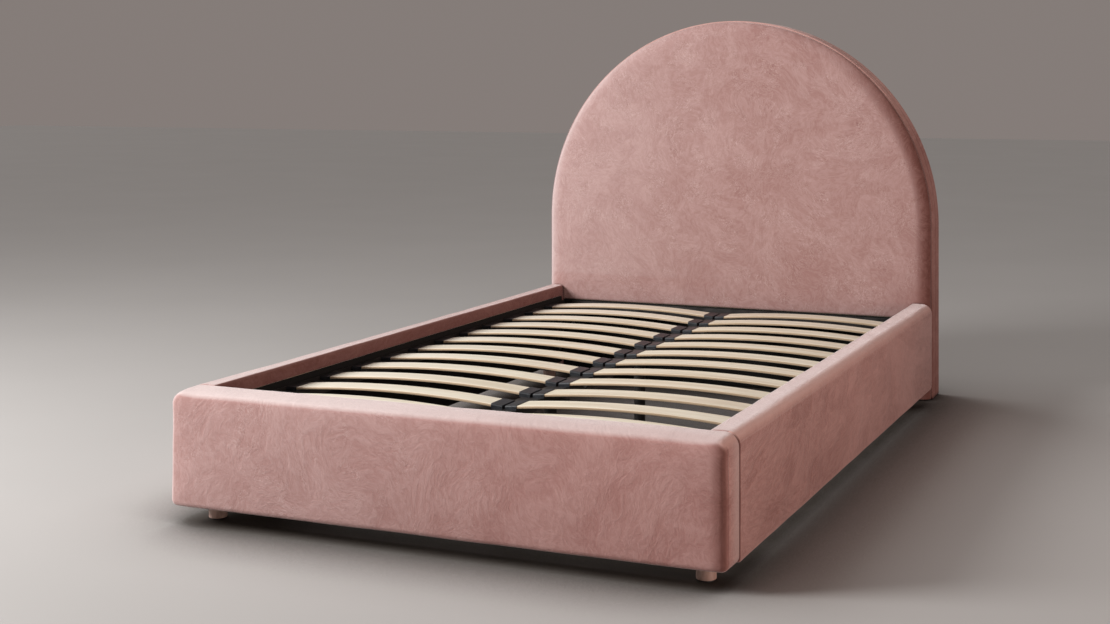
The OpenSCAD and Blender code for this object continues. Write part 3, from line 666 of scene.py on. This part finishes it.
def turned(u, v):
    """Where (u, v) lies beyond both flats of a square corner, and what brings it onto the arc"""
    zone = (u > TINY) & (v > TINY)
    length = np.maximum(np.hypot(u, v), 1e-9)
    return zone, length, np.where(zone, np.maximum(u, v) / length, 1)


def roll(points, a, a_edge, a_way, b, b_edge, b_way, radius):
    """Turns the square edge where face a meets face b into a rounded one"""
    u = (points[:, a] - a_edge) * a_way + radius
    v = (points[:, b] - b_edge) * b_way + radius
    zone, _, scale = turned(u, v)
    points[:, a] = np.where(zone, a_edge + a_way * (u * scale - radius), points[:, a])
    points[:, b] = np.where(zone, b_edge + b_way * (v * scale - radius), points[:, b])


def soften(points, box, corners, edges):
    """Rounds a block: first its outline in x and z, then the edge all round its end faces.
    corners are the outline's radii at (low x, low z), (high x, low z), (high x, high z)
    and (low x, high z), and edges those at the low and the high y."""
    (x0, x1), (y0, y1), (z0, z1) = box
    x, y, z = points.T.copy()
    sides = np.array([x - x0, x1 - x, z - z0, z1 - z])
    inset = sides.min(0)
    near = sides.argmin(0)
    nx = np.choose(near, [-1.0, 1.0, 0.0, 0.0])
    nz = np.choose(near, [0.0, 0.0, -1.0, 1.0])
    square_x, square_z = x.copy(), z.copy()
    for (xe, wx), (ze, wz), r in zip(((x0, -1), (x1, 1), (x1, 1), (x0, -1)),
                                     ((z0, -1), (z0, -1), (z1, 1), (z1, 1)), corners):
        u, v = (square_x - xe) * wx + r, (square_z - ze) * wz + r
        zone, length, scale = turned(u, v)
        x = np.where(zone, xe + wx * (u * scale - r), x)
        z = np.where(zone, ze + wz * (v * scale - r), z)
        nx = np.where(zone, wx * u / length, nx)
        nz = np.where(zone, wz * v / length, nz)
    for edge, way, r in ((y0, -1, edges[0]), (y1, 1, edges[1])):
        a, b = r - inset, (y - edge) * way + r
        zone, _, scale = turned(a, b)
        push = np.where(zone, a * (scale - 1), 0)
        x, z = x + nx * push, z + nz * push
        y = np.where(zone, edge + way * (b * scale - r), y)
    points[:] = np.stack([x, y, z], axis=1)


def ramp(value, width):
    """0 at or below 0, rising to 1 at the width"""
    return np.clip(value / width, 0, 1)


def new_object(name, points, faces, material):
    """A smooth mesh, moved from y measured at the footboard's front face to the frame's own y"""
    mesh = bpy.data.meshes.new(name)
    points = np.asarray(points, float) + np.array([0, FRONT, 0])
    mesh.from_pydata(points.tolist(), [], [list(map(int, f)) for f in faces])
    mesh.update()
    obj = bpy.data.objects.new(name, mesh)
    bpy.context.scene.collection.objects.link(obj)
    mesh.materials.append(material)
    mesh.shade_smooth()
    return obj


def places(mesh, what="co"):
    """Places or normals of all the mesh's vertices, one row each"""
    rows = np.empty(len(mesh.vertices) * 3)
    mesh.vertices.foreach_get(what, rows)
    return rows.reshape(-1, 3)


def swell(obj, free, cap):
    """Lets the cloth swell between the points that hold it, by no more than cap"""
    start = places(obj.data)
    group = obj.vertex_groups.new(name="held")
    held = np.round(1 - free, 2)
    for weight in np.unique(held):
        if weight > 0:
            group.add(np.nonzero(held == weight)[0].tolist(), float(weight), "REPLACE")
    cloth = obj.modifiers.new("Cloth", "CLOTH")
    for setting, value in CLOTH.items():
        setattr(cloth.settings, setting, value)
    cloth.settings.vertex_group_mass = "held"
    cloth.settings.effector_weights.gravity = 0
    cloth.collision_settings.use_collision = False
    cloth.point_cache.frame_start = 1
    cloth.point_cache.frame_end = CLOTH_FRAMES
    scene = bpy.context.scene
    for number in range(1, CLOTH_FRAMES + 1):
        scene.frame_set(number)
    graph = bpy.context.evaluated_depsgraph_get()
    moved = places(obj.evaluated_get(graph).data)
    obj.modifiers.remove(cloth)
    scene.frame_set(1)
    shift = (moved - start) * free[:, None]
    reach = max(float(np.percentile(np.linalg.norm(shift, axis=1), 99.5)), 1e-6)
    shift *= min(1.0, cap / reach)
    size = np.maximum(np.linalg.norm(shift, axis=1), 1e-9)
    shift *= np.minimum(1, cap / size)[:, None]
    obj.data.vertices.foreach_set("co", (start + shift).ravel())
    obj.data.update()
    print("swell", obj.name, "vertices", len(start), "free reach", round(reach * 1000, 2), "mm")


def unevenness(obj, amount, scale, seed):
    """Small hollows and rises of hand-stretched fabric, along each point's normal"""
    co, normals = places(obj.data), places(obj.data, "normal")
    rise = [noise.noise(Vector(c) * scale + Vector((seed, 0, 0))) for c in co]
    moved = co + normals * (np.array(rise) * amount)[:, None]
    obj.data.vertices.foreach_set("co", moved.ravel())
    obj.data.update()


def subdivide(obj):
    mod = obj.modifiers.new("Subdivision", "SUBSURF")
    mod.levels = mod.render_levels = 1
    graph = bpy.context.evaluated_depsgraph_get()
    mesh = bpy.data.meshes.new_from_object(obj.evaluated_get(graph))
    old = obj.data
    obj.modifiers.remove(mod)
    obj.data = mesh
    bpy.data.meshes.remove(old)
    mesh.shade_smooth()


def finish_pad(obj, stood_for):
    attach(obj, "bed")
    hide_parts(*stood_for)


def upholster(obj, free, cap, bumps, stood_for):
    """Swells the pad, smooths it, makes it slightly uneven, hangs it on the bed's body and hides
    the CAD parts that it stands for.
    free is each point's freedom to move from 0 to 1, cap the furthest that it may move, and
    bumps the height, fineness and seed of the unevenness."""
    swell(obj, free, cap)
    subdivide(obj)
    unevenness(obj, *bumps)
    finish_pad(obj, stood_for)


# ---------- upholstered panels ----------

def rail_pad(side, name, material, *stood_for):
    """Foam and velvet of one side rail, open on the inside and below as the cover is"""
    ys = stops((FOOT_T, *LINING_Y, *CORE_Y, HEAD_Y), CELL, (FOOT_T, TIGHT, -1), (HEAD_Y, TIGHT, 1))
    zs = stops((LOW, CORE_Z[0], *seam(HEM_Z), VELVET_EDGE, CORE_Z[1], TOP), CELL,
               (LOW, REAR_LOW_R, -1), (TOP, OUTER, 1), (TOP, TIGHT, 1))
    xs = stops((RAIL_X, *CORE_X, OUT_X), CROSS_CELL, (RAIL_X, TIGHT, -1), (OUT_X, OUTER, 1),
               (OUT_X, TIGHT, 1))

    def solid(x, y, z):
        core = (x > CORE_X[0]) & (x < CORE_X[1]) & (y > CORE_Y[0]) & (y < CORE_Y[1])
        core &= (z > CORE_Z[0]) & (z < CORE_Z[1])
        span = (y > LINING_Y[0]) & (y < LINING_Y[1])
        inside = (x < CORE_X[0]) & (z < VELVET_EDGE) & span
        below = (z < CORE_Z[0]) & (x < CORE_X[1]) & span
        return ~(core | inside | below)

    points, faces = cell_mesh(xs, ys, zs, solid)
    x, y, z = points.T.copy()
    free = ((x > CORE_X[1] + CORE_GAP) | (z > CORE_Z[1] + CORE_GAP)).astype(float)
    free *= ramp(x - RAIL_X, HELD) * ramp(z - LOW, HELD_LOW)
    free *= ramp(np.minimum(y - FOOT_T, HEAD_Y - y), HELD)
    sewn = (abs(z - HEM_Z) < ON) & (x > OUT_X - ON)
    soften(points, ((RAIL_X, OUT_X), (FOOT_T, HEAD_Y), (LOW, TOP)),
           (0.002, 0.004, OUTER, TIGHT), (TIGHT * 0.7, TIGHT))
    points[sewn, 0] -= GROOVE
    roll(points, 1, HEAD_Y, 1, 2, LOW, -1, REAR_LOW_R)
    if side < 0:
        points[:, 0] *= -1
        faces = faces[:, ::-1]
    obj = new_object(name, points, faces, material)
    upholster(obj, free, cap=0.0035, bumps=(0.0008, 9.0, 3.0 + side), stood_for=stood_for)


def foot_pad(name, material, *stood_for):
    """Foam and velvet of the footboard"""
    xs = stops((-OUT_X, -CORE_X[1], -RAIL_X, RAIL_X, CORE_X[1], OUT_X), CELL,
               (-OUT_X, FOOT_R, -1), (OUT_X, FOOT_R, 1))
    ys = stops((0, *seam(SEAM_Y), *FOOT_CORE_Y, FOOT_T), CROSS_CELL,
               (0, FRONT_R, -1), (FOOT_T, TIGHT, 1))
    zs = stops((LOW, CORE_Z[0], *seam(HEM_Z), VELVET_EDGE, CORE_Z[1], TOP), CELL,
               (LOW, LOW_R, -1), (TOP, FOOT_R, 1), (TOP, TIGHT, 1))

    def solid(x, y, z):
        core = (abs(x) < CORE_X[1]) & (y > FOOT_CORE_Y[0]) & (y < FOOT_CORE_Y[1])
        core &= (z > CORE_Z[0]) & (z < CORE_Z[1])
        inside = (y > FOOT_CORE_Y[1]) & (z < VELVET_EDGE) & (abs(x) < RAIL_X)
        below = (z < CORE_Z[0]) & (y > FOOT_CORE_Y[0]) & (abs(x) < RAIL_X)
        return ~(core | inside | below)

    points, faces = cell_mesh(xs, ys, zs, solid)
    x, y, z = points.T.copy()
    at_end = abs(x) > OUT_X - ON
    free = ((y < FOOT_CORE_Y[0] - CORE_GAP) | (z > CORE_Z[1] + CORE_GAP)
            | (abs(x) > CORE_X[1] + CORE_GAP)).astype(float)
    free *= ramp(FOOT_T - y, HELD) * ramp(z - LOW, HELD_LOW)
    corner_seam = (abs(y - SEAM_Y) < ON) & at_end & (z > LOW + LOW_R) & (z < TOP - FOOT_R)
    hem = abs(z - HEM_Z) < ON
    sewn = corner_seam | (hem & at_end)
    ways = np.sign(x)
    soften(points, ((-OUT_X, OUT_X), (0, FOOT_T), (LOW, TOP)), (LOW_R, LOW_R, FOOT_R, FOOT_R),
           (FRONT_R, TIGHT * 0.7))
    points[sewn, 0] -= ways[sewn] * GROOVE
    points[hem & (y < ON), 1] += GROOVE / 2
    # The face falls back a little towards its ends
    x, y, z = points.T
    near_end = 1 - ramp(OUT_X - abs(x), END_FALL[0])
    points[:, 1] = y + near_end ** 2 * END_FALL[1] * (1 - y / FOOT_T)
    # The top falls a little towards the front, which widens the roll of its edge
    x, y, z = points.T
    forward = np.clip(1 - y / 0.050, 0, 1) ** 2 * ramp(z - (TOP - 0.06), 0.06)
    points[:, 2] = z - forward * FRONT_FALL
    lean = ramp(z - (TOP - 0.05), 0.05) ** 2 * FRONT_LEAN
    points[:, 1] = y + lean * np.clip(1 - y / FOOT_T, 0, 1)
    obj = new_object(name, points, faces, material)
    upholster(obj, free, cap=0.004, bumps=(0.0009, 8.0, 11.0), stood_for=stood_for)


def head_pad(name, material, *stood_for):
    """The arched headboard's front pad with its rolled edge"""
    # The front edge is rolled over an ellipse, wide across the face and shallower in depth
    roll_in, roll_deep, r_back, r_low = 0.044, 0.027, 0.003, 0.003
    out = HEAD_CORE_R
    xs = stops((-out, -RAIL_X, RAIL_X, out), HEAD_CELL, (-out, roll_in, -1), (out, roll_in, 1))
    ys = stops((0, PAD_T), HEAD_CROSS_CELL, (0, roll_deep, -1), (PAD_T, r_back, 1))
    zs = stops((HEAD_LOW, HEAD_LOW + HEM, PAD_LOW, SPRING, SPRING + out), HEAD_CELL,
               (SPRING + out, roll_in, 1), (HEAD_LOW, r_low, -1))
    points, faces = cell_mesh(xs, ys, zs, lambda x, y, z: ~((abs(x) < RAIL_X) & (z < PAD_LOW)))
    x, y, z = points.T.copy()
    h = np.maximum(z - SPRING, 0)
    ring = np.maximum(abs(x), h)
    free = ramp(PAD_T - y, HELD) * np.clip((out - ring) / 0.004, 0.35, 1)
    free *= ramp(z - HEAD_LOW, HELD_HEAD_LOW)
    lower = (z < PAD_LOW + HELD_LOW) & (abs(x) < RAIL_X + 0.01)
    free *= np.where(lower, ramp(z - PAD_LOW, HELD_LOW), 1)
    # Squares round the arch's centre become circles
    scale = np.where(h > 0, ring / np.maximum(np.hypot(x, h), 1e-9), 1)
    points[:, 0] = x * scale
    points[:, 2] = np.where(h > 0, SPRING + h * scale, z)
    # The rolled edge is turned in the plane of the rim's radius and the depth
    for edge, way, wide, deep in ((0.0, -1, roll_in, roll_deep), (PAD_T, 1, r_back, r_back)):
        x, y, z = points.T
        h = np.maximum(z - SPRING, 0)
        rho = np.hypot(x, h)
        u, v = (rho - out) / wide + 1, (y - edge) * way / deep + 1
        zone, _, turn = turned(u, v)
        new_rho = out + wide * (u * turn - 1)
        grow = np.where(zone, new_rho / np.maximum(rho, 1e-9), 1)
        points[:, 0] = x * grow
        points[:, 2] = np.where(z > SPRING, SPRING + h * grow, z)
        points[:, 1] = np.where(zone, edge + way * deep * (v * turn - 1), y)
    roll(points, 1, 0, -1, 2, HEAD_LOW, -1, r_low)
    # The face falls back a little towards the rim
    x, y, z = points.T
    reach = out - np.hypot(x, np.maximum(z - SPRING, 0))
    fall = np.clip(1 - reach / HEAD_FALL[0], 0, 1) ** 2 * HEAD_FALL[1]
    fall *= ramp(z - 0.30, 0.16) * np.clip(1 - y / PAD_T, 0, 1)
    points[:, 1] = y + fall + HEAD_Y
    obj = new_object(name, points, faces, material)
    upholster(obj, free, cap=0.004, bumps=(0.0010, 6.0, 21.0), stood_for=stood_for)


def arch_band(name, material, *stood_for):
    """The flat velvet band round the headboard's edge, with rounded edges and a sewn groove"""
    inner, outer = HEAD_CORE_R + 0.0002, HEAD_R
    y0, y1 = BAND_Y
    r = 0.0022
    front_edge, rear_edge = ([(outer - r + r * math.cos(math.radians(start + a)),
                               y + r * math.sin(math.radians(start + a)))
                              for a in (0, 22.5, 45, 67.5, 90)]
                             for y, start in ((y0 + r, -90), (y1 - r, 0)))
    flat = [(outer, y0 + (y1 - y0) * k / 8) for k in (1, 2, 5, 6, 7)]
    groove = ((0, -0.004), (0.0003, -0.002), (0.0016, 0.0), (0.0003, 0.002), (0, 0.004))
    flat += [(outer - depth, WELT_Y + step) for depth, step in groove]
    # A lip behind the pad's edge closes the gap between pad and band
    lip = [(inner, y1), (inner, y0 + 0.002), (inner - 0.006, y0 + 0.002),
           (inner - 0.006, y0 - 0.0012), (inner + 0.0004, y0 - 0.0008)]
    profile = front_edge + sorted(flat, key=lambda point: point[1]) + rear_edge + lip
    legs, turns = 40, 128
    height = SPRING - HEAD_LOW
    path = [(1, 0, HEAD_LOW + height * k / legs) for k in range(legs)]
    path += [(math.cos(math.pi * k / turns), math.sin(math.pi * k / turns), SPRING)
             for k in range(turns + 1)]
    path += [(-1, 0, SPRING - height * (k + 1) / legs) for k in range(legs)]
    points = [(c * rho, y, base + s * rho) for c, s, base in path for rho, y in profile]
    n = len(profile)
    faces = []
    for k in range(len(path) - 1):
        for j in range(n):
            a, b = k * n + j, k * n + (j + 1) % n
            faces.append((a, b, b + n, a + n))
    faces.append(list(range(n))[::-1])
    faces.append([(len(path) - 1) * n + j for j in range(n)])
    finish_pad(new_object(name, points, faces, material), stood_for)


def stretched_sheet(name, slot, corner, across, up, out, size, stood_for,
                    outline=None):
    """A flat stapled cloth with shallow ripples. across and up are its two directions, and out is
    the side that its ripples stand out on, away from what it is stapled to."""
    w, l = size
    nu, nv = max(4, round(w / SHEET_CELL)), max(4, round(l / SHEET_CELL))
    points, faces = [], []
    for j in range(nv + 1):
        for i in range(nu + 1):
            u, v = w * i / nu, l * j / nv
            edge = min(u, w - u, v, l - v)
            if outline:
                u, v = outline(u, v)
            hold = max(0.0, min(1.0, edge / STAPLED))
            wave = (0.5 + 0.5 * noise.noise(Vector((u * 3, v * 9, 5)))) * RIPPLE * hold
            points.append([corner[k] + across[k] * u + up[k] * v + out[k] * wave
                           for k in range(3)])
    for j in range(nv):
        for i in range(nu):
            a = j * (nu + 1) + i
            faces.append((a, a + 1, a + nu + 2, a + nu + 1))
    obj = new_object(name, points, faces, paints[slot])
    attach(obj, "bed")
    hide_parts(stood_for)


def arch(u, v):
    """A point of the plain rectangle, moved into the headboard's arched outline"""
    x, h = u - HEAD_CORE_R, v + HEAD_LOW - SPRING
    if h > 0:
        scale = max(abs(x), h) / max(math.hypot(x, h), 1e-9)
        x, h = x * scale, h * scale
    return x + HEAD_CORE_R, h + SPRING - HEAD_LOW


# ---------- build ----------

make_camera()

half = 24
ground = bpy.data.meshes.new("floor")
ground.from_pydata([(-half, -half, 0), (half, -half, 0), (half, half, 0), (-half, half, 0)], [],
                   [(0, 1, 2, 3)])
floor = bpy.data.objects.new("floor", ground)
bpy.context.scene.collection.objects.link(floor)
ground.materials.append(floor_paint())

world = bpy.data.worlds.new("studio")
bpy.context.scene.world = world
world.use_nodes = True
background = world.node_tree.nodes["Background"]
background.inputs[0].default_value = (0.90, 0.78, 0.73, 1)
background.inputs[1].default_value = 0.26
lamp("key", "AREA", (-3.6, -3.0, 2.5), (-0.1, 0.3, 0.3), 2.0, 300, (1.0, 0.99, 0.985))
lamp("sky", "SUN", (-3.4, 0.5, 2.8), (0.0, 0.0, 0.0), 50, 1.25, (1.0, 1.0, 1.0))
lamp("fill", "AREA", (4.3, -1.6, 0.9), (0.4, 0.5, 0.2), 1.6, 52, (1.0, 0.79, 0.71))
bpy.context.scene.view_settings.view_transform = "Standard"
bpy.context.scene.view_settings.look = "None"

paints = {
    "velvet": Velvet("velvet", 0.9).finished(),
    "foam": foam(),
    "panel_board": board(),
    "frame_timber": timber("frame_timber", (0.62, 0.47, 0.29), (0.78, 0.65, 0.46),
                           (0.42, 0.28, 0.15)),
    "back_cloth": cloth_black("back_cloth", (0.018, 0.018, 0.019), (0.045, 0.045, 0.047)),
    "black_lining": cloth_black("black_lining", (0.007, 0.0065, 0.006), (0.018, 0.017, 0.016)),
    "black_steel": steel_black(),
    "zinc_fasteners": zinc(),
    "foot_wood": foot_wood(),
    "glide_plastic": plastic("glide_plastic", (0.04, 0.037, 0.034), (0.06, 0.056, 0.052),
                             0.5, 0.65),
    "cap_plastic": plastic("cap_plastic", (0.014, 0.016, 0.020), (0.022, 0.025, 0.030), 0.38, 0.5),
    "birch_slats": birch(),
}
for part in frame["record"]["subparts"]:
    mesh = nodes[part["node"]].data
    mesh.materials.clear()
    mesh.materials.append(paints[part["material_slot"]])

for side, way in (("left", -1), ("right", 1)):
    rail_pad(way, side + "_rail_upholstery", paints["velvet"],
             side + "_rail_cover", side + "_rail_foam")
foot_pad("footboard_upholstery", paints["velvet"], "footboard_cover", "footboard_foam")
head_pad("headboard_upholstery", paints["velvet"], "headboard_front_cover", "headboard_foam")
arch_band("headboard_band", Velvet("velvet_band", 0.15).finished(), "headboard_side_band")

# The linings are stapled just in front of the timber, and the back cloth just behind it
rail_lining = (LINING_Y[1] - LINING_Y[0], VELVET_EDGE - CORE_Z[0])
for side, way in (("left", -1), ("right", 1)):
    stretched_sheet(side + "_rail_lining", "black_lining",
                    (way * (RAIL_X + 0.0015), LINING_Y[0], CORE_Z[0]), (0, 1, 0), (0, 0, 1),
                    (-way, 0, 0), rail_lining, "inner_linings")
stretched_sheet("footboard_lining", "black_lining", (-RAIL_X, FOOT_T - 0.0015, CORE_Z[0]),
                (1, 0, 0), (0, 0, 1), (0, 1, 0), (2 * RAIL_X, VELVET_EDGE - CORE_Z[0]),
                "inner_linings")
stretched_sheet("headboard_lining", "black_lining", (-RAIL_X, HEAD_Y + 0.0015, HEAD_LOW),
                (1, 0, 0), (0, 0, 1), (0, -1, 0), (2 * RAIL_X, PAD_LOW - HEAD_LOW),
                "inner_linings")
back_size = (2 * HEAD_CORE_R, SPRING + HEAD_CORE_R - HEAD_LOW)
stretched_sheet("headboard_back_sheet", "back_cloth",
                (-HEAD_CORE_R, BAND_Y[1] - 0.0004, HEAD_LOW), (1, 0, 0), (0, 0, 1), (0, 1, 0),
                back_size, "headboard_back_cloth", arch)
